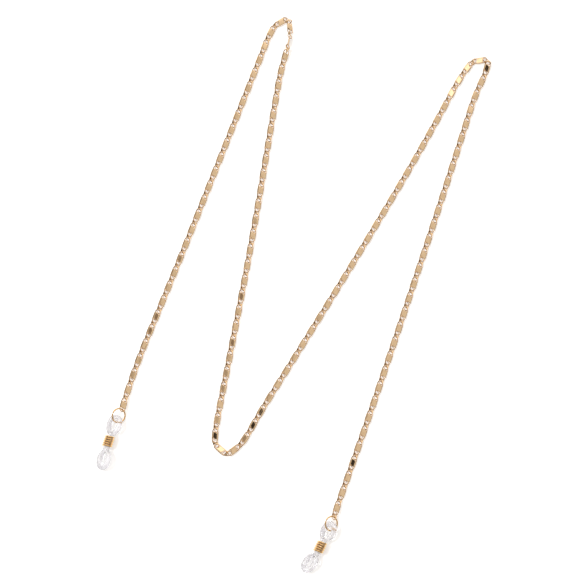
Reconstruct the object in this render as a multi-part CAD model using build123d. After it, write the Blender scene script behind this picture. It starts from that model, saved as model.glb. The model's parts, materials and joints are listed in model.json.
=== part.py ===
from build123d import *
import math
import os

# Eyeglasses chain strap: a gold chain of pressed long links and short links, lying in four strands on
# a table. At each end a jump ring joins the chain to a clear silicone loop that a wire coil pinches.
# Millimetres, +Z up, the table is z = 0. Angles are in degrees.

# Long link: a flat pressed plate between two eyes, its two ends twisted the same way.
LONG_HALF = 2.55  # half its length over the end bars
PLATE_HALF_LENGTH = 1.40
PLATE_HALF_WIDTH = 1.22
LONG_END_HALF_WIDTH = 0.72
LONG_END_BAR = 0.34
LONG_END_RAIL = 0.33
LONG_NECK_RAIL = 0.36
LONG_NECK_STEP = 0.06  # the eye begins this far past the flat plate
LONG_END_LIFT = 0.46  # one corner of an end stands this high, the other this low
LONG_NECK_LIFT = 0.15

# Short link: two eyes with a narrow pinched web between them.
SHORT_HALF = 1.32
WEB_HALF_LENGTH = 0.20
SHORT_HALF_WIDTH = 0.88
SHORT_END_BAR = 0.30
SHORT_RAIL = 0.30
SHORT_END_LIFT = 0.48
WEB_LIFT = 0.22

THICKNESS = 0.32  # both kinds of link are pressed from the same wire

# Chain: long and short links in turn, a long link first and a short one last
LINK_PAIRS = 119
LONG_BEARING = 0.115  # a neighbour bears this far inside the bar that closes the eye
SHORT_BEARING = 0.13
LONG_REACH = LONG_HALF - LONG_END_BAR - LONG_BEARING
SHORT_REACH = SHORT_HALF - SHORT_END_BAR - SHORT_BEARING
SLOPE_LINKS = 3  # that lead up from the table to the jump ring
TABLE_GAP = 0.05  # under a link that lies flat, so that the ones turning over clear the table too

# Where each stretch of links that move together begins, in per cent of the chain
STRETCH_STARTS = [
    0, 4.2, 8.4, 12.6, 16.0, 19.3, 23.1, 26.9, 31.1, 35.3, 39.5, 43.7, 47.5, 51.3, 55.5, 59.7, 63.9,
    67.2, 70.6, 73.5, 78.2, 83.2, 88.2, 94.1,
]

# How the chain lies, up, down, up and down again: link, its heading and its roll. In between both
# change evenly. It lies flat, but for the links that stand on edge after the first turn.
START = (-65.5, -46.3)
LAY = [
    (0, 76, 0), (2, 72.5, 0), (10, 68, 0), (24, 69, 0), (48, 69, 0), (50, 70, 0), (52, 63.5, 0),
    (54, 30, 0), (55, -37, -10), (56, -86.5, -35), (58, -101, -80), (60, -106.5, -180),
    (64, -99.5, -180), (76, -99, -180), (92, -100.5, -180), (104, -101, -180), (108, -100, -180),
    (110, -94.5, -180), (112, -43, -180), (114, 36.5, -180), (116, 56, -180), (118, 61, -180),
    (122, 58, -180), (138, 58.5, -180), (154, 59.5, -180), (168, 62, -180), (172, 54, -180),
    (174, 8.5, -180), (176, -107, -180), (178, -115.5, -180), (182, -108, -180),
    (198, -108.5, -180), (218, -109, -180), (234, -110, -180), (237, -108, -180),
]

# Jump rings
RING_RADIUS = 2.65  # to the middle of the wire
RING_WIRE = 0.60
RING_SIDES = 14
RING_ROLL = -33
RING_RISE = 7  # its outer side is the higher one
RING_HEIGHT = 1.80
RING_TO_LONG_TIP = 0.75  # middle of the wire to the tip of the link that it goes through
RING_TO_SHORT_TIP = 0.69

# Silicone loops: half of the tube's way round as (outward, across, tube radius), from the tip over the
# glasses to the tip in the jump ring. The middle is squeezed by the coil.
LOOP_HALF_WAY = [
    (9.95, 0.00, 1.05), (9.25, 1.20, 1.05), (7.70, 1.68, 1.05), (5.60, 1.55, 1.05), (4.40, 1.02, 0.86),
    (3.35, 0.65, 0.60), (-2.55, 0.65, 0.60), (-3.65, 1.08, 0.86), (-5.00, 1.72, 1.02),
    (-7.20, 1.98, 1.00), (-8.80, 1.48, 1.00), (-9.50, 0.00, 1.00),
]
LOOP_SIDES = 6
LOOP_ROLL = 20

# Coils
COIL_RADIUS = 1.64  # to the middle of the wire
COIL_WIRE = 0.60
COIL_PITCH = 0.84
COIL_TURNS = 4.5
COIL_STEPS = 10  # straight lengths in a turn

# The ends: headings of the jump ring and of the silicone loop, pointing away from the chain, and how
# far from the middle of the ring the coil sits.
LEFT_END = (-118, -108, 10.4)
RIGHT_END = (-112, -117, 9.6)


def corners(x, y, z):
    """Four matching corners of a link: two at the right end, then their partners half a turn on."""
    return [Vector(x, y, z), Vector(x, -y, -z), Vector(-x, -y, z), Vector(-x, y, -z)]


def flat_face(points):
    return Face(Wire.make_polygon(points, close=True))


def sheet(panels, rims):
    """A bent sheet of even thickness: flat panels above and below, and a wall along each rim."""
    up = Vector(0, 0, THICKNESS / 2)
    faces = []
    for panel in panels:
        faces.append(flat_face([p + up for p in panel]))
        faces.append(flat_face([p - up for p in reversed(panel)]))
    for rim in rims:
        for a, b in zip(rim, rim[1:] + rim[:1]):
            faces.append(flat_face([a + up, a - up, b - up, b + up]))
    return Solid(Shell(faces))


def long_link():
    tip = corners(LONG_HALF, LONG_END_HALF_WIDTH, LONG_END_LIFT)
    eye = corners(LONG_HALF - LONG_END_BAR, LONG_END_HALF_WIDTH - LONG_END_RAIL, LONG_END_LIFT)
    neck = corners(
        PLATE_HALF_LENGTH + LONG_NECK_STEP, PLATE_HALF_WIDTH - LONG_NECK_RAIL, LONG_NECK_LIFT
    )
    plate = corners(PLATE_HALF_LENGTH, PLATE_HALF_WIDTH, 0)
    panels = [plate]
    rims = [[tip[0], tip[1], plate[1], plate[2], tip[2], tip[3], plate[3], plate[0]]]
    for a, b in ((0, 1), (2, 3)):
        panels += [
            [tip[a], tip[b], eye[b]],
            [tip[a], eye[b], eye[a]],
            [tip[a], eye[a], neck[a]],
            [tip[a], neck[a], plate[a]],
            [tip[b], plate[b], neck[b]],
            [tip[b], neck[b], eye[b]],
            [plate[a], neck[a], neck[b]],
            [plate[a], neck[b], plate[b]],
        ]
        rims.append([eye[a], eye[b], neck[b], neck[a]])
    return sheet(panels, rims)


def short_link():
    tip = corners(SHORT_HALF, SHORT_HALF_WIDTH, SHORT_END_LIFT)
    eye = corners(SHORT_HALF - SHORT_END_BAR, SHORT_HALF_WIDTH - SHORT_RAIL, SHORT_END_LIFT)
    web = corners(WEB_HALF_LENGTH, SHORT_HALF_WIDTH - SHORT_RAIL, WEB_LIFT)
    panels = [[web[0], web[1], web[2]], [web[0], web[2], web[3]]]
    rims = [tip]
    for a, b, far in ((0, 1, 3), (2, 3, 1)):
        panels += [
            [tip[a], tip[b], eye[b]],
            [tip[a], eye[b], eye[a]],
            [tip[a], eye[a], web[a]],
            [tip[b], web[b], eye[b]],
            [tip[a], web[a], web[far]],
            [tip[a], web[far], tip[far]],
        ]
        rims.append([eye[a], eye[b], web[b], web[a]])
    return sheet(panels, rims)


def skin(sections, closed):
    """A solid through a row of sections that have the same number of corners."""
    faces = []
    following = sections[1:] + sections[:1] if closed else sections[1:]
    for near, far in zip(sections, following):
        for i in range(len(near)):
            j = (i + 1) % len(near)
            faces.append(flat_face([near[i], near[j], far[j]]))
            faces.append(flat_face([near[i], far[j], far[i]]))
    if not closed:
        faces.append(flat_face(sections[0]))
        faces.append(flat_face(sections[-1]))
    return Solid(Shell(faces))


def section(centre, across, over, radius, sides, first=0.0):
    """A regular section with its first corner turned from the direction across."""
    turns = [math.radians(first + 360 * i / sides) for i in range(sides)]
    return [centre + across * (radius * math.cos(t)) + over * (radius * math.sin(t)) for t in turns]


def jump_ring():
    sections = []
    for i in range(RING_SIDES):
        turn = 2 * math.pi * i / RING_SIDES
        outward = Vector(math.cos(turn), math.sin(turn), 0)
        sections.append(section(outward * RING_RADIUS, outward, Vector(0, 0, 1), RING_WIRE / 2, 6))
    return skin(sections, True)


def silicone_loop():
    """One closed tube that the coil squeezes into a figure eight."""
    way = LOOP_HALF_WAY + [(x, -y, r) for x, y, r in reversed(LOOP_HALF_WAY[1:-1])]
    places = [Vector(x, y, 0) for x, y, r in way]
    sections = []
    for i, (x, y, radius) in enumerate(way):
        ahead = (places[(i + 1) % len(way)] - places[i]).normalized()
        behind = (places[i] - places[i - 1]).normalized()
        along = (ahead + behind).normalized()
        across = Vector(along.Y, -along.X, 0)
        sections.append(section(places[i], across, Vector(0, 0, 1), radius, LOOP_SIDES))
    return skin(sections, True)


def slide_coil():
    """A close helix of square wire about the x axis."""
    steps = round(COIL_TURNS * COIL_STEPS)
    sections = []
    for i in range(steps + 1):
        turn = 2 * math.pi * i / COIL_STEPS
        outward = Vector(0, math.cos(turn), math.sin(turn))
        centre = outward * COIL_RADIUS + Vector(COIL_PITCH * (i / COIL_STEPS - COIL_TURNS / 2), 0, 0)
        sections.append(
            section(centre, outward, Vector(1, 0, 0), COIL_WIRE / math.sqrt(2), 4, first=45)
        )
    return skin(sections, False)


def between(table, number):
    """Heading and roll of a link, on straight lines between the table's rows."""
    for (start, *low), (end, *high) in zip(table, table[1:]):
        if number <= end:
            share = (number - start) / (end - start)
            return [a + (b - a) * share for a, b in zip(low, high)]
    return table[-1][1:]


def resting_height(roll):
    """Height of a link's middle when its lowest corner is just clear of the table."""
    flat = abs(math.cos(math.radians(roll)))
    edge = abs(math.sin(math.radians(roll)))
    plate = PLATE_HALF_WIDTH * edge + THICKNESS / 2 * flat
    short_end = SHORT_HALF_WIDTH * edge + (SHORT_END_LIFT + THICKNESS / 2) * flat
    return max(plate, short_end) + TABLE_GAP


def link_places():
    """The place of every link in turn, each starting where the one before it ends."""
    lay = [between(LAY, number) for number in range(2 * LINK_PAIRS)]
    eye_height = RING_HEIGHT - RING_RADIUS * math.sin(math.radians(RING_RISE))
    resting = [resting_height(roll) for heading, roll in lay]
    heights = [eye_height] + [max(pair) for pair in zip(resting, resting[1:])] + [eye_height]
    for step in range(1, SLOPE_LINKS):
        share = step / SLOPE_LINKS
        heights[step] = eye_height + (heights[SLOPE_LINKS] - eye_height) * share
        heights[-1 - step] = eye_height + (heights[-1 - SLOPE_LINKS] - eye_height) * share
    point = Vector(*START, heights[0])
    places = []
    for number, (heading, roll) in enumerate(lay):
        length = 2 * (SHORT_REACH if number % 2 else LONG_REACH)
        rise = heights[number + 1] - heights[number]
        run = math.sqrt(length ** 2 - rise ** 2)
        turn = math.radians(heading)
        step = Vector(run * math.cos(turn), run * math.sin(turn), rise)
        level = Vector(-math.sin(turn), math.cos(turn), 0)
        plane = Plane(origin=point + step / 2, x_dir=step, z_dir=step.cross(level))
        places.append(Location(plane) * Rotation(roll, 0, 0))
        point += step
    return places


def end_places(link_place, in_eye, end):
    """Places of the jump ring and of the silicone loop that hang on an end link."""
    ring_heading, loop_heading, ring_to_coil = end
    eye = link_place * Location((in_eye, 0, 0))
    flat_radius = RING_RADIUS * math.cos(math.radians(RING_RISE))
    ring_along = Vector(1, 0, 0).rotate(Axis.Z, ring_heading)
    loop_along = Vector(1, 0, 0).rotate(Axis.Z, loop_heading)
    ring_middle = Vector(eye.position.X, eye.position.Y, 0) + ring_along * flat_radius
    hook = ring_middle + ring_along * flat_radius
    coil_middle = hook + loop_along * (ring_to_coil - RING_RADIUS)
    ring = (
        Location((ring_middle.X, ring_middle.Y, RING_HEIGHT))
        * Rotation(0, 0, ring_heading)
        * Rotation(0, -RING_RISE, 0)
        * Rotation(RING_ROLL, 0, 0)
    )
    loop_height = COIL_RADIUS + COIL_WIRE / 2
    loop = (
        Location((coil_middle.X, coil_middle.Y, loop_height))
        * Rotation(0, 0, loop_heading)
        * Rotation(LOOP_ROLL, 0, 0)
    )
    return ring, loop


def save(solids, label):
    export_step(Compound(label=label, children=solids), f"parts/{label}.step")


def copies(solid, places):
    return [solid.moved(place) for place in places]


os.makedirs("parts", exist_ok=True)
places = link_places()
one_long = long_link()
one_short = short_link()

starts = [round(percent / 100 * len(places)) for percent in STRETCH_STARTS]
stops = starts[1:] + [len(places)]
for stretch, (start, stop) in enumerate(zip(starts, stops), 1):
    first_long = start + start % 2
    first_short = start + 1 - start % 2
    save(copies(one_long, places[first_long:stop:2]), f"long_links_{stretch:02d}")
    save(copies(one_short, places[first_short:stop:2]), f"short_links_{stretch:02d}")

for side, end_link, in_eye, end in (
    ("left", places[0], RING_TO_LONG_TIP - LONG_HALF, LEFT_END),
    ("right", places[-1], SHORT_HALF - RING_TO_SHORT_TIP, RIGHT_END),
):
    ring_place, loop_place = end_places(end_link, in_eye, end)
    save([jump_ring().moved(ring_place)], f"{side}_jump_ring")
    save([silicone_loop().moved(loop_place)], f"{side}_silicone_loop")
    save([slide_coil().moved(loop_place)], f"{side}_slide_coil")
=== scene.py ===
import json
import math
import random

import bmesh
import bpy
import numpy
from mathutils import Matrix, Vector

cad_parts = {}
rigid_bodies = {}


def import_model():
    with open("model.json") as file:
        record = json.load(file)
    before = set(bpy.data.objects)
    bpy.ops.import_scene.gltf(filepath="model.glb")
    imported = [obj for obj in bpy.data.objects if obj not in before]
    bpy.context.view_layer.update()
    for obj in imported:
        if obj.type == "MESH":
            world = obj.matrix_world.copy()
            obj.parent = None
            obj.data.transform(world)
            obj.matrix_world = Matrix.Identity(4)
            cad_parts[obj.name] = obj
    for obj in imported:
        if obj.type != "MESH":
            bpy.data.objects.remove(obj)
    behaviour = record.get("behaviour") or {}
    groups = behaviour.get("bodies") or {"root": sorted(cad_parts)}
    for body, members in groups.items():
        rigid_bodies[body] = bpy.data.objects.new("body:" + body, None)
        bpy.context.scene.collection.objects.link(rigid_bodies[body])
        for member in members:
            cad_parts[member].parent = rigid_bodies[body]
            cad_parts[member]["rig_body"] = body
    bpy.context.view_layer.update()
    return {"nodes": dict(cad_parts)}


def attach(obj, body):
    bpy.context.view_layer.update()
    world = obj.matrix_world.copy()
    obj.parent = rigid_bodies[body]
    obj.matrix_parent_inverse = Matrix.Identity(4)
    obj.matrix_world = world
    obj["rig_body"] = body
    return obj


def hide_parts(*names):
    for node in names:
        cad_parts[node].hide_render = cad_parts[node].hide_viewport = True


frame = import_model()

# An eyeglasses chain strap lying on a white table. Sizes are in millimetres unless said otherwise.
# The links are drawn in their own frames (x along the chain, z out of the plate) and set where the
# packed links are. Blender's own units are metres.
MM = 0.001
CHANCE = random.Random(11)
UP = Vector((0, 0, 1))

# Links. Stations are points of the wire's centre line round one quarter of a link, from the neck to
# the middle of the end bar, as (along, across, lift).
PLATE_HALF_LENGTH = 1.28
PLATE_HALF_WIDTH = 1.22
PLATE_COLUMN = 0.70  # extra edges that keep the plate flat when it is rounded, along it
PLATE_ROW = 0.45  # and across it
LONG_NECK_INSIDE = 0.86
LONG_WIRE = 0.36
LONG_STATIONS = [(1.70, 0.98, 0.14), (2.14, 0.86, 0.36), (2.42, 0.50, 0.36), (2.50, 0.0, 0.0)]
WEB_HALF_LENGTH = 0.34
WEB_LIFT = 0.2
SHORT_RAIL_INSIDE = 0.62
SHORT_RAIL_OUTSIDE = 1.00
SHORT_WIRE = 0.31
SHORT_STATIONS = [(0.80, 0.80, 0.38), (1.20, 0.70, 0.46), (1.46, 0.42, 0.38), (1.56, 0.0, 0.0)]
LONG_SKEW = 0.25  # how far the ends slant, along for each across
SHORT_SKEW = 0.50
PLATE_THICKNESS = 0.32
RIM_THICKNESS = 0.14  # the plate is rolled thin along its sides
WIRE_THICKNESS = 0.30
EDGE_CREASE = 0.55  # of the plate's edges
EDGE_COSINE = 0.7  # faces that meet more sharply than this make an edge
ROUNDING = 2  # levels of subdivision

# How the links lie, by their place in the chain from the left end
LEAN = 1.3  # a little uneven, in degrees
# Long links that lie at their own tilt: how far the plate's face is turned toward the near side of
# the table and toward the right of it, in degrees.
PROPPED = {
    110: (5.2, 1.2), 112: (-10.0, 0.0), 118: (5.4, 0.6), 120: (4.0, 0.5), 168: (-6.0, 0.0),
    170: (-5.0, 0.0), 172: (-6.0, 0.0), 174: (-8.0, 0.0), 176: (10.9, -2.9), 230: (4.7, -0.9),
}

# Jump rings
RING_RADIUS = 2.65
RING_WIRE = 0.56
RING_CUT = 2.5  # half the angle left open where the ring's ends meet, in degrees
RING_STEPS = 72
RING_SIDES = 16

# Silicone loops. Half of the tube's way round, as (outward, across, tube radius)
LOOP_HALF_WAY = [
    (9.95, 0.00, 1.05), (9.25, 1.20, 1.05), (7.70, 1.68, 1.05), (5.60, 1.55, 1.05),
    (4.40, 1.02, 0.86), (3.35, 0.65, 0.60), (-2.55, 0.65, 0.60), (-3.65, 1.08, 0.86),
    (-5.00, 1.72, 1.02), (-7.20, 1.98, 1.00), (-8.80, 1.48, 1.00), (-9.50, 0.00, 1.00),
]
LOOP_STEPS = 6  # between two of these points
LOOP_SIDES = 20
WAIST_END = 2.6  # where the outer lobe's bend begins
OUTER_LOBE_BEND = {"left": 7.0, "right": -12.0}  # seen from above, in degrees

# Coils
COIL_RADIUS = 1.64
COIL_WIRE = 0.74
COIL_PITCH = 0.84
COIL_TURNS = 4.5
COIL_STEPS = 40  # in a turn
COIL_SIDES = 12

# Gold: pale and deep colour, least roughness
PLATE_GOLD = ((0.88, 0.66, 0.42), (0.80, 0.57, 0.35), 0.05)
# painted shade: the eyes' gold is darker than the plates', standing in for the shade in the eyes
# where the links interlock
SHADED_EYE_GOLD = ((0.80, 0.57, 0.34), (0.64, 0.42, 0.23), 0.08)
WIRE_GOLD = ((0.95, 0.69, 0.38), (0.82, 0.53, 0.24), 0.08)
DULL_SPOTS = 0.07  # how much rougher the dull spots are
# Noise: scale and detail, and for relief its strength and its depth in metres.
GOLD_DRIFT = (900.0, 3.0)
GOLD_SPOTS = (2600.0, 4.0)
GOLD_MARKS = (5200.0, 3.0, 0.12, 0.00002)

# Silicone: from its clearest to its cloudiest places
CLEAR_TINT, CLOUDY_TINT = (0.94, 0.93, 0.975), (0.99, 0.985, 1.0)
CLEAR, CLOUDY = 0.90, 0.62  # transmission
SATIN, DULL = 0.10, 0.28  # roughness
SILICONE_IOR = 1.41
SILICONE_CLOUD = (220.0, 2.0)
SILICONE_RIPPLE = (1500.0, 2.0, 0.15, 0.00003)

# Table
TABLE_HALF_SIZE = 3.0  # metres
TABLE_WHITE = 0.86
TABLE_ROUGHNESS = 0.9
TABLE_GLOW = 0.44  # for the camera, mirrors and clear pieces only

# Light. Directions point from the strap; angles are in degrees from them, full inside the first and
# gone outside the second.
KEY_PLACE = (-0.80, 0.12, 1.15)  # metres
KEY_SIZE = 0.34  # metres
KEY_WATTS = 8.5
KEY_COLOUR = (0.97, 0.99, 1.0)
# The room from the horizon (0) up to overhead (1), on its left and on its right
DIM_SIDE = [
    (0.0, (0.05, 0.04, 0.03)), (0.62, (0.06, 0.04, 0.03)), (0.88, (0.20, 0.16, 0.13)),
    (0.97, (0.81, 0.78, 0.74)),
]
LIT_SIDE = [
    (0.0, (0.10, 0.08, 0.06)), (0.40, (0.15, 0.12, 0.10)), (0.80, (0.42, 0.38, 0.34)),
    (0.94, (0.81, 0.78, 0.74)),
]
SIDES_MEET = (-0.25, 0.35)  # across the room
FAR_WALL = (0.36, 0.44)  # away from the camera
FAR_WALL_COLOUR = (1.24, 1.19, 1.12)
# (direction, inner angle, outer angle, colour)
PATCHES = [
    ((0.03, 0.50, 1.0), 6.0, 10.0, (1.70, 1.62, 1.55)),  # a window
    ((-0.085, 0.13, 1.0), 2.0, 4.5, (0.26, 0.21, 0.17)),  # a shelf
    (KEY_PLACE, 3.0, 7.0, (2.6, 2.5, 2.3)),  # the lamp as the gold mirrors it
    ((0.0, -0.105, 1.0), 3.5, 5.5, (0.02, 0.015, 0.012)),  # the black camera
]

# Camera
ELEVATION = 81.0  # degrees
DISTANCE = 0.70  # metres
AIM = (-0.0015, -0.0013, 0.0)  # metres
LENS = 113.4
SENSOR = 36.0


# ---------------------------------------------------------------- materials

def new_material(name):
    material = bpy.data.materials.new(name)
    material.use_nodes = True
    nodes, links = material.node_tree.nodes, material.node_tree.links
    return material, nodes, links, nodes["Principled BSDF"]


def noise(nodes, links, scale, detail):
    place = nodes.new("ShaderNodeTexCoord")
    texture = nodes.new("ShaderNodeTexNoise")
    texture.inputs["Scale"].default_value = scale
    texture.inputs["Detail"].default_value = detail
    links.new(place.outputs["Object"], texture.inputs["Vector"])
    return texture.outputs["Fac"]


def spread(nodes, links, source, low, high, start=0.3, stop=0.7):
    """Low where the source is at start or less, high where it is at stop or more."""
    span = nodes.new("ShaderNodeMapRange")
    span.inputs["From Min"].default_value = start
    span.inputs["From Max"].default_value = stop
    span.inputs["To Min"].default_value = low
    span.inputs["To Max"].default_value = high
    links.new(source, span.inputs["Value"])
    return span.outputs["Result"]


def ramp(nodes, links, source, stops):
    """A colour for each source value, from (value, colour) stops."""
    node = nodes.new("ShaderNodeValToRGB")
    elements = node.color_ramp.elements
    while len(elements) < len(stops):
        elements.new(0.5)
    for element, (position, colour) in zip(elements, stops):
        element.position = position
        element.color = (*colour, 1.0)
    links.new(source, node.inputs["Fac"])
    return node.outputs["Color"]


def bump(nodes, links, shader, scale, detail, strength, depth):
    """Fine relief on a shader."""
    node = nodes.new("ShaderNodeBump")
    node.inputs["Strength"].default_value = strength
    node.inputs["Distance"].default_value = depth
    links.new(noise(nodes, links, scale, detail), node.inputs["Height"])
    links.new(node.outputs["Normal"], shader.inputs["Normal"])


def gold(name, pale, deep, roughness):
    """Polished plating: the colour drifts a little, with fine polishing marks and dull spots."""
    material, nodes, links, shader = new_material(name)
    drift = noise(nodes, links, *GOLD_DRIFT)
    links.new(ramp(nodes, links, drift, [(0.3, deep), (0.7, pale)]), shader.inputs["Base Color"])
    spots = noise(nodes, links, *GOLD_SPOTS)
    rough = spread(nodes, links, spots, roughness, roughness + DULL_SPOTS)
    links.new(rough, shader.inputs["Roughness"])
    bump(nodes, links, shader, *GOLD_MARKS)
    shader.inputs["Metallic"].default_value = 1.0
    return material


def silicone(name):
    """Clear rubber with a milky cloud inside and a satin skin."""
    material, nodes, links, shader = new_material(name)
    cloud = noise(nodes, links, *SILICONE_CLOUD)
    colour = ramp(nodes, links, cloud, [(0.25, CLEAR_TINT), (0.75, CLOUDY_TINT)])
    links.new(colour, shader.inputs["Base Color"])
    links.new(spread(nodes, links, cloud, SATIN, DULL), shader.inputs["Roughness"])
    links.new(spread(nodes, links, cloud, CLEAR, CLOUDY), shader.inputs["Transmission Weight"])
    shader.inputs["IOR"].default_value = SILICONE_IOR
    bump(nodes, links, shader, *SILICONE_RIPPLE)
    return material


# ---------------------------------------------------------------- link meshes

class Sheet:
    """A bent sheet of quads, thickened to a closed cage that is then rounded by subdivision."""

    def __init__(self):
        self.points, self.quads, self.thick, self.index = [], [], [], {}

    def point(self, x, y, z, thickness):
        key = (round(x, 4), round(y, 4))
        if key not in self.index:
            self.index[key] = len(self.points)
            self.points.append(Vector((x, y, z)))
            self.thick.append(thickness)
        return self.index[key]

    def quad(self, corners):
        self.quads.append([self.point(*corner) for corner in corners])

    def turned(self):
        """Adds each quad again, turned half round about the link's three axes."""
        quads, points, thick = list(self.quads), list(self.points), list(self.thick)
        for sx, sy, sz in ((1, -1, -1), (-1, 1, -1), (-1, -1, 1)):
            for quad in quads:
                corners = [
                    (points[i].x * sx, points[i].y * sy, points[i].z * sz, thick[i]) for i in quad
                ]
                turned = [self.point(*corner) for corner in corners]
                if sx * sy < 0:
                    turned.reverse()
                if not any(set(turned) == set(other) for other in self.quads):
                    self.quads.append(turned)

    def mesh(self, name, flat_half, skew):
        """A closed, rounded mesh. Its middle has crisp rims; its eyes take the second material, the
        darker gold of painted shade.
        """
        normals = [Vector() for _ in self.points]
        sides = {}
        for quad in self.quads:
            a, b, c, d = [self.points[i] for i in quad]
            normal = (c - a).cross(d - b).normalized()
            for i in quad:
                normals[i] += normal
            for i, j in zip(quad, quad[1:] + quad[:1]):
                sides[(i, j)] = True
        bm = bmesh.new()
        tops, unders = [], []
        for point, normal, thickness in zip(self.points, normals, self.thick):
            reach = normal.normalized() * thickness / 2
            tops.append(bm.verts.new(point + reach))
            unders.append(bm.verts.new(point - reach))
        for quad in self.quads:
            bm.faces.new([tops[i] for i in quad])
            bm.faces.new([unders[i] for i in reversed(quad)])
        for i, j in sides:
            if (j, i) not in sides:
                bm.faces.new([tops[j], tops[i], unders[i], unders[j]])
        crease = bm.edges.layers.float.new("crease_edge")
        bm.normal_update()
        for edge in bm.edges:
            a, b = edge.verts
            one, two = edge.link_faces
            flat = max(abs(a.co.x), abs(b.co.x)) <= flat_half + 0.01
            if flat and abs(one.normal.dot(two.normal)) < EDGE_COSINE:
                edge[crease] = EDGE_CREASE
        mesh = bpy.data.meshes.new(name)
        bm.to_mesh(mesh)
        bm.free()
        holder = bpy.data.objects.new(name, mesh)
        bpy.context.scene.collection.objects.link(holder)
        rounding = holder.modifiers.new("rounding", "SUBSURF")
        rounding.levels = rounding.render_levels = ROUNDING
        shown = holder.evaluated_get(bpy.context.evaluated_depsgraph_get())
        result = bpy.data.meshes.new_from_object(shown)
        bpy.data.objects.remove(holder)
        # the eyes get the second material, the darker gold that paints shade into them
        for polygon in result.polygons:
            polygon.material_index = 1 if abs(polygon.center.x) > flat_half else 0
        for vertex in result.vertices:
            vertex.co.x += skew * vertex.co.y
        return result


def wire_rows(start, stations, width):
    """Inner and outer points beside the wire's centre line, from the neck to the end bar."""
    middles = [Vector(s) for s in [start] + stations]
    rows = []
    for i in range(1, len(middles)):
        if i + 1 < len(middles):
            way = middles[i + 1] - middles[i - 1]
        else:
            way = Vector((0, -1, 0))
        out = Vector((-way.y, way.x, 0)).normalized() * width / 2
        rows.append((middles[i] - out, middles[i] + out))
    return rows


def add_eye(sheet, inside, outside, stations, width):
    """Quads from the neck, between two corners, along a quarter of the link's wire."""
    middle = tuple((a + b) / 2 for a, b in zip(inside[:3], outside[:3]))
    before = [inside, outside]
    for inner, outer in wire_rows(middle, stations, width):
        after = [(*inner, WIRE_THICKNESS), (*outer, WIRE_THICKNESS)]
        sheet.quad([before[0], after[0], after[1], before[1]])
        before = after


def long_link_mesh():
    sheet = Sheet()
    columns = [0.0, PLATE_COLUMN, PLATE_HALF_LENGTH]
    rows = [0.0, PLATE_ROW, LONG_NECK_INSIDE, PLATE_HALF_WIDTH]

    def thickness(y):
        return RIM_THICKNESS if y == PLATE_HALF_WIDTH else PLATE_THICKNESS

    for x0, x1 in zip(columns, columns[1:]):
        for y0, y1 in zip(rows, rows[1:]):
            t0, t1 = thickness(y0), thickness(y1)
            sheet.quad([(x0, y0, 0, t0), (x1, y0, 0, t0), (x1, y1, 0, t1), (x0, y1, 0, t1)])
    inside = (PLATE_HALF_LENGTH, LONG_NECK_INSIDE, 0, PLATE_THICKNESS)
    outside = (PLATE_HALF_LENGTH, PLATE_HALF_WIDTH, 0, RIM_THICKNESS)
    add_eye(sheet, inside, outside, LONG_STATIONS, LONG_WIRE)
    sheet.turned()
    return sheet.mesh("long_link", PLATE_HALF_LENGTH, LONG_SKEW)


def short_link_mesh():
    sheet = Sheet()
    x, t = WEB_HALF_LENGTH, PLATE_THICKNESS
    rows = [(0.0, 0.0), (SHORT_RAIL_INSIDE, WEB_LIFT), (SHORT_RAIL_OUTSIDE, WEB_LIFT)]
    for (y0, z0), (y1, z1) in zip(rows, rows[1:]):
        sheet.quad([(0.0, y0, 0, t), (x, y0, z0, t), (x, y1, z1, t), (0.0, y1, 0, t)])
    inside = (x, SHORT_RAIL_INSIDE, WEB_LIFT, t)
    outside = (x, SHORT_RAIL_OUTSIDE, WEB_LIFT, t)
    add_eye(sheet, inside, outside, SHORT_STATIONS, SHORT_WIRE)
    sheet.turned()
    return sheet.mesh("short_link", WEB_HALF_LENGTH, SHORT_SKEW)


# ---------------------------------------------------------------- places, read from the frame

def islands(node):
    """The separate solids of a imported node, each as a list of its points in metres."""
    bm = bmesh.new()
    bm.from_mesh(node.data)
    bmesh.ops.remove_doubles(bm, verts=bm.verts, dist=1e-7)
    bm.verts.ensure_lookup_table()
    seen, found = set(), []
    for first in bm.verts:
        if first.index in seen:
            continue
        seen.add(first.index)
        group, heap = [], [first]
        while heap:
            vert = heap.pop()
            group.append(vert.co.copy())
            for edge in vert.link_edges:
                other = edge.other_vert(vert)
                if other.index not in seen:
                    seen.add(other.index)
                    heap.append(other)
        found.append(group)
    bm.free()
    return found


def main_axes(points):
    """Middle and three axes of a symmetric solid, its widest spread first."""
    cloud = numpy.array([tuple(p) for p in points])
    middle = cloud.mean(axis=0)
    _, vectors = numpy.linalg.eigh(numpy.cov((cloud - middle).T))
    x, y = Vector(vectors[:, 2]), Vector(vectors[:, 1])
    return Vector(middle), x, y, x.cross(y)


def placing(middle, x, y, z):
    """Matrix from a millimetre frame to the world."""
    turn = Matrix((x, y, z)).transposed().to_4x4()
    return Matrix.Translation(middle) @ turn @ Matrix.Diagonal((MM, MM, MM, 1.0))


def joined(name, parts, *materials):
    """One object from (mesh, matrix) pairs."""
    bm = bmesh.new()
    for mesh, matrix in parts:
        before = len(bm.verts)
        bm.from_mesh(mesh)
        bm.verts.ensure_lookup_table()
        bmesh.ops.transform(bm, matrix=matrix, verts=bm.verts[before:])
    mesh = bpy.data.meshes.new(name)
    bm.to_mesh(mesh)
    bm.free()
    for polygon in mesh.polygons:
        polygon.use_smooth = True
    for material in materials:
        mesh.materials.append(material)
    piece = bpy.data.objects.new(name, mesh)
    bpy.context.scene.collection.objects.link(piece)
    return piece


def stands_for(piece, node_name):
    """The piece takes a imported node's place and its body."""
    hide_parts(node_name)
    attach(piece, frame["nodes"][node_name]["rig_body"])


# ---------------------------------------------------------------- tubes

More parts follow.
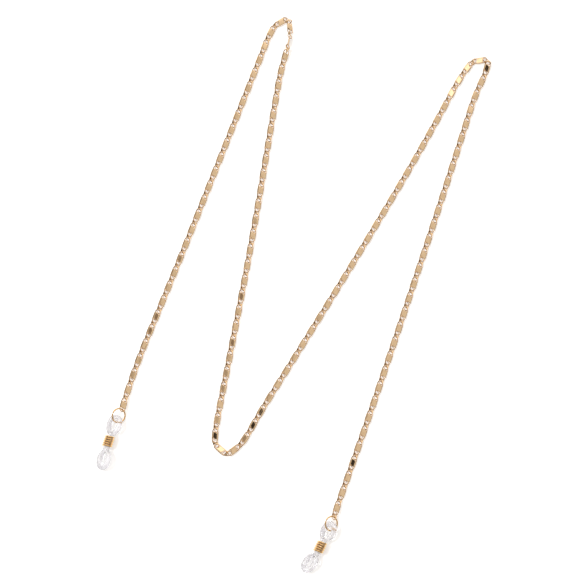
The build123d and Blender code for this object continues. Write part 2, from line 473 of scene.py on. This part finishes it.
def tube(places, radii, sides, closed, over):
    """A round tube along places, with a radius at each; over is never along its way."""
    bm = bmesh.new()
    rings = []
    count = len(places)
    for i, (place, radius) in enumerate(zip(places, radii)):
        if closed:
            way = places[(i + 1) % count] - places[i - 1]
        else:
            way = places[min(i + 1, count - 1)] - places[max(i - 1, 0)]
        way.normalize()
        side = way.cross(over).normalized()
        up = side.cross(way)
        ring = []
        for j in range(sides):
            turn = 2 * math.pi * j / sides
            out = side * (radius * math.cos(turn)) + up * (radius * math.sin(turn))
            ring.append(bm.verts.new(place + out))
        rings.append(ring)
    pairs = list(zip(rings, rings[1:]))
    if closed:
        pairs.append((rings[-1], rings[0]))
    for near, far in pairs:
        for j in range(sides):
            k = (j + 1) % sides
            bm.faces.new([near[j], near[k], far[k], far[j]])
    if not closed:
        bm.faces.new(list(reversed(rings[0])))
        bm.faces.new(rings[-1])
    bmesh.ops.recalc_face_normals(bm, faces=bm.faces)
    mesh = bpy.data.meshes.new("tube")
    bm.to_mesh(mesh)
    bm.free()
    return mesh


def smooth_way(points, steps):
    """Points on a closed Catmull-Rom curve through vectors of any length."""
    count = len(points)
    result = []
    for i in range(count):
        a, b, c, d = (points[(i + k) % count] for k in (-1, 0, 1, 2))
        for step in range(steps):
            t = step / steps
            result.append([
                0.5 * (2 * q + (r - p) * t + (2 * p - 5 * q + 4 * r - s) * t * t
                       + (3 * q - p - 3 * r + s) * t ** 3)
                for p, q, r, s in zip(a, b, c, d)
            ])
    return result


def ring_mesh():
    """A jump ring with its cut on the y axis."""
    opening = math.radians(RING_CUT)
    places = []
    for i in range(RING_STEPS + 1):
        turn = math.pi / 2 + opening + (2 * math.pi - 2 * opening) * i / RING_STEPS
        places.append(Vector((RING_RADIUS * math.cos(turn), RING_RADIUS * math.sin(turn), 0)))
    return tube(places, [RING_WIRE / 2] * len(places), RING_SIDES, False, UP)


def loop_mesh(bend):
    """The squeezed loop. Past the waist its outer lobe is bent sideways, by bend degrees."""
    way = []
    turn = Matrix.Rotation(math.radians(bend), 2)
    for x, y, r in LOOP_HALF_WAY + [(x, -y, r) for x, y, r in reversed(LOOP_HALF_WAY[1:-1])]:
        if x > WAIST_END:
            x, y = turn @ Vector((x - WAIST_END, y))
            x += WAIST_END
        way.append((x, y, r))
    fine = smooth_way(way, LOOP_STEPS)
    places = [Vector((x, y, 0)) for x, y, r in fine]
    return tube(places, [r for x, y, r in fine], LOOP_SIDES, True, UP)


def coil_mesh(flip):
    """A coil along x; flip is 1 or -1, the side of the loop on which its wire starts."""
    places = []
    for i in range(round(COIL_TURNS * COIL_STEPS) + 1):
        turn = 2 * math.pi * i / COIL_STEPS
        along = COIL_PITCH * (i / COIL_STEPS - COIL_TURNS / 2)
        places.append(Vector((
            along, flip * COIL_RADIUS * math.cos(turn), flip * COIL_RADIUS * math.sin(turn),
        )))
    return tube(places, [COIL_WIRE / 2] * len(places), COIL_SIDES, False, Vector((1, 0, 0)))


# ---------------------------------------------------------------- the strap

plate_gold = gold("plate_gold", *PLATE_GOLD)
# the eyes' darker gold is painted shade, where the links interlock
shaded_eye_gold = gold("shaded_eye_gold", *SHADED_EYE_GOLD)
wire_gold = gold("wire_gold", *WIRE_GOLD)
milky = silicone("milky_silicone")


def chain_order():
    """Every link as (node name, middle, axes), from neighbour to neighbour off the left ring."""
    waiting = {"long_links_": [], "short_links_": []}
    for name in sorted(frame["nodes"]):
        for kind, found in waiting.items():
            if name.startswith(kind):
                found += [(name, *main_axes(points)) for points in islands(frame["nodes"][name])]
    here = main_axes(islands(frame["nodes"]["left_jump_ring"])[0])[0]
    order = []
    while waiting["long_links_"] or waiting["short_links_"]:
        found = waiting["short_links_" if len(order) % 2 else "long_links_"]
        link = min(found, key=lambda item: (item[1] - here).length)
        found.remove(link)
        order.append(link)
        here = link[1]
    return order


def chain_pieces(long_template, short_template):
    """Sets a link on each packed link, and makes one piece of each node's links."""
    parts = {}
    for number, (name, middle, x, y, z) in enumerate(chain_order()):
        roll = Matrix.Rotation(math.radians(CHANCE.gauss(0, LEAN)), 4, "X")
        pitch = Matrix.Rotation(math.radians(CHANCE.gauss(0, LEAN / 2)), 4, "Y")
        lean = roll @ pitch
        if z.z < 0:
            y, z = -y, -z
        if number in PROPPED:
            near, right = (math.radians(angle) for angle in PROPPED[number])
            facing = Vector((math.tan(right), -math.tan(near), 1.0)).normalized()
            prop = z.rotation_difference(facing)
            x, y, z = (prop @ axis for axis in (x, y, z))
            lean = Matrix.Identity(4)
        template = short_template if number % 2 else long_template
        parts.setdefault(name, []).append((template, placing(middle, x, y, z) @ lean))
    for name, links in parts.items():
        stands_for(joined(name + "_polished", links, plate_gold, shaded_eye_gold), name)


def end_pieces(side):
    """The ring, loop and coil at one end of the chain."""
    nodes = [side + kind for kind in ("_jump_ring", "_silicone_loop", "_slide_coil")]
    ring, loop, coil = (islands(frame["nodes"][node])[0] for node in nodes)
    ring_middle, _, _, ring_axis = main_axes(ring)

    # the loop's x axis points to its outer tip
    middle, x, y, z = main_axes(loop)
    if x.dot(ring_middle - middle) > 0:
        x, y = -x, -y
    reach = max(x.dot(point - middle) for point in loop)
    outer_tip = LOOP_HALF_WAY[0][0] + LOOP_HALF_WAY[0][2]
    origin = middle + x * (reach - outer_tip * MM)
    place_of_loop = placing(origin, x, y, z)
    bend = OUTER_LOBE_BEND[side] if z.z > 0 else -OUTER_LOBE_BEND[side]

    start = min(coil, key=lambda point: x.dot(point - origin))
    flip = 1 if y.dot(start - origin) > 0 else -1

    # the ring's cut faces away from both the chain and the loop
    ring_x = (origin - ring_middle).normalized()
    ring_y = ring_axis.cross(ring_x).normalized()
    ring_x = ring_y.cross(ring_axis).normalized()
    if ring_y.x > 0:
        ring_y, ring_axis = -ring_y, -ring_axis
    place_of_ring = placing(ring_middle, ring_x, ring_y, ring_axis)

    for node, mesh, place, material, slot in zip(
        nodes,
        (ring_mesh(), loop_mesh(bend), coil_mesh(flip)),
        (place_of_ring, place_of_loop, place_of_loop),
        (wire_gold, milky, wire_gold),
        ("gold_wire", "clear_silicone", "gold_wire"),
    ):
        stands_for(joined(node + "_finished", [(mesh, place)], material), node)


chain_pieces(long_link_mesh(), short_link_mesh())
end_pieces("left")
end_pieces("right")


# ---------------------------------------------------------------- table, light and camera

def largest(nodes, links, sources):
    """The largest of several values."""
    value = sources[0]
    for source in sources[1:]:
        node = nodes.new("ShaderNodeMath")
        node.operation = "MAXIMUM"
        links.new(value, node.inputs[0])
        links.new(source, node.inputs[1])
        value = node.outputs[0]
    return value


def table():
    size = TABLE_HALF_SIZE
    mesh = bpy.data.meshes.new("table")
    mesh.from_pydata(
        [(-size, -size, 0), (size, -size, 0), (size, size, 0), (-size, size, 0)], [], [(0, 1, 2, 3)]
    )
    floor = bpy.data.objects.new("table", mesh)
    bpy.context.scene.collection.objects.link(floor)
    material, nodes, links, shader = new_material("white_table")
    shader.inputs["Base Color"].default_value = (TABLE_WHITE, TABLE_WHITE, TABLE_WHITE, 1.0)
    shader.inputs["Roughness"].default_value = TABLE_ROUGHNESS
    shader.inputs["Specular IOR Level"].default_value = 0.0
    path = nodes.new("ShaderNodeLightPath").outputs
    seen = largest(nodes, links, [
        path["Is Camera Ray"], path["Is Transmission Ray"], path["Is Glossy Ray"],
    ])
    lift = nodes.new("ShaderNodeMath")
    lift.operation = "MULTIPLY"
    lift.inputs[1].default_value = TABLE_GLOW
    links.new(seen, lift.inputs[0])
    glow = nodes.new("ShaderNodeEmission")
    links.new(lift.outputs[0], glow.inputs["Strength"])
    both = nodes.new("ShaderNodeAddShader")
    links.new(shader.outputs[0], both.inputs[0])
    links.new(glow.outputs[0], both.inputs[1])
    links.new(both.outputs[0], nodes["Material Output"].inputs["Surface"])
    mesh.materials.append(material)


def facing_patch(nodes, links, source, toward, inner, outer):
    """1 within inner degrees of a direction, falling to 0 at outer degrees."""
    near = nodes.new("ShaderNodeVectorMath")
    near.operation = "DOT_PRODUCT"
    near.inputs[1].default_value = Vector(toward).normalized()
    links.new(source, near.inputs[0])
    start, stop = (math.cos(math.radians(angle)) for angle in (outer, inner))
    return spread(nodes, links, near.outputs["Value"], 0.0, 1.0, start, stop)


def mixed(nodes, links, share, first, second):
    """The first colour where share is 0, the second where it is 1; each a colour or a socket."""
    node = nodes.new("ShaderNodeMixRGB")
    links.new(share, node.inputs["Fac"])
    for socket, colour in (("Color1", first), ("Color2", second)):
        if isinstance(colour, tuple):
            node.inputs[socket].default_value = (*colour, 1.0)
        else:
            links.new(colour, node.inputs[socket])
    return node.outputs["Color"]


def studio_world():
    """A white ceiling over a dim room, darker on the left, with the camera's dark patch in it."""
    world = bpy.data.worlds.new("studio")
    bpy.context.scene.world = world
    world.use_nodes = True
    nodes, links = world.node_tree.nodes, world.node_tree.links
    place = nodes.new("ShaderNodeTexCoord").outputs["Generated"]
    split = nodes.new("ShaderNodeSeparateXYZ")
    links.new(place, split.inputs[0])
    across, away, up = (split.outputs[axis] for axis in "XYZ")
    right = spread(nodes, links, across, 0.0, 1.0, *SIDES_MEET)
    colour = mixed(
        nodes, links, right, ramp(nodes, links, up, DIM_SIDE), ramp(nodes, links, up, LIT_SIDE)
    )
    far = spread(nodes, links, away, 0.0, 1.0, *FAR_WALL)
    colour = mixed(nodes, links, far, colour, FAR_WALL_COLOUR)
    for toward, inner, outer, patch_colour in PATCHES:
        share = facing_patch(nodes, links, place, toward, inner, outer)
        colour = mixed(nodes, links, share, colour, patch_colour)
    path = nodes.new("ShaderNodeLightPath")
    shown = mixed(nodes, links, path.outputs["Is Camera Ray"], colour, (1.0, 1.0, 1.0))
    background = nodes["Background"]
    links.new(shown, background.inputs["Color"])
    background.inputs["Strength"].default_value = 1.0


def look_at(thing, target):
    thing.rotation_mode = "QUATERNION"
    thing.rotation_quaternion = (target - thing.location).to_track_quat("-Z", "Y")


def softbox():
    """The one lamp. The gold doesn't mirror it, but the world's patch in the same place."""
    light = bpy.data.lights.new("key", "AREA")
    light.shape = "DISK"
    light.size = KEY_SIZE
    light.energy = KEY_WATTS
    light.color = KEY_COLOUR
    lamp = bpy.data.objects.new("key", light)
    bpy.context.scene.collection.objects.link(lamp)
    lamp.visible_glossy = False
    lamp.location = KEY_PLACE
    look_at(lamp, Vector())


def camera():
    """The view from above and a little in front, at the height that frames the whole strap."""
    elevation = math.radians(ELEVATION)
    aim = Vector(AIM)
    data = bpy.data.cameras.new("camera")
    data.sensor_width = SENSOR
    data.lens = LENS
    view = bpy.data.objects.new("camera", data)
    bpy.context.scene.collection.objects.link(view)
    view.location = aim + Vector((0, -math.cos(elevation), math.sin(elevation))) * DISTANCE
    look_at(view, aim)
    bpy.context.scene.camera = view


table()
studio_world()
softbox()
camera()
bpy.context.scene.view_settings.view_transform = "Standard"
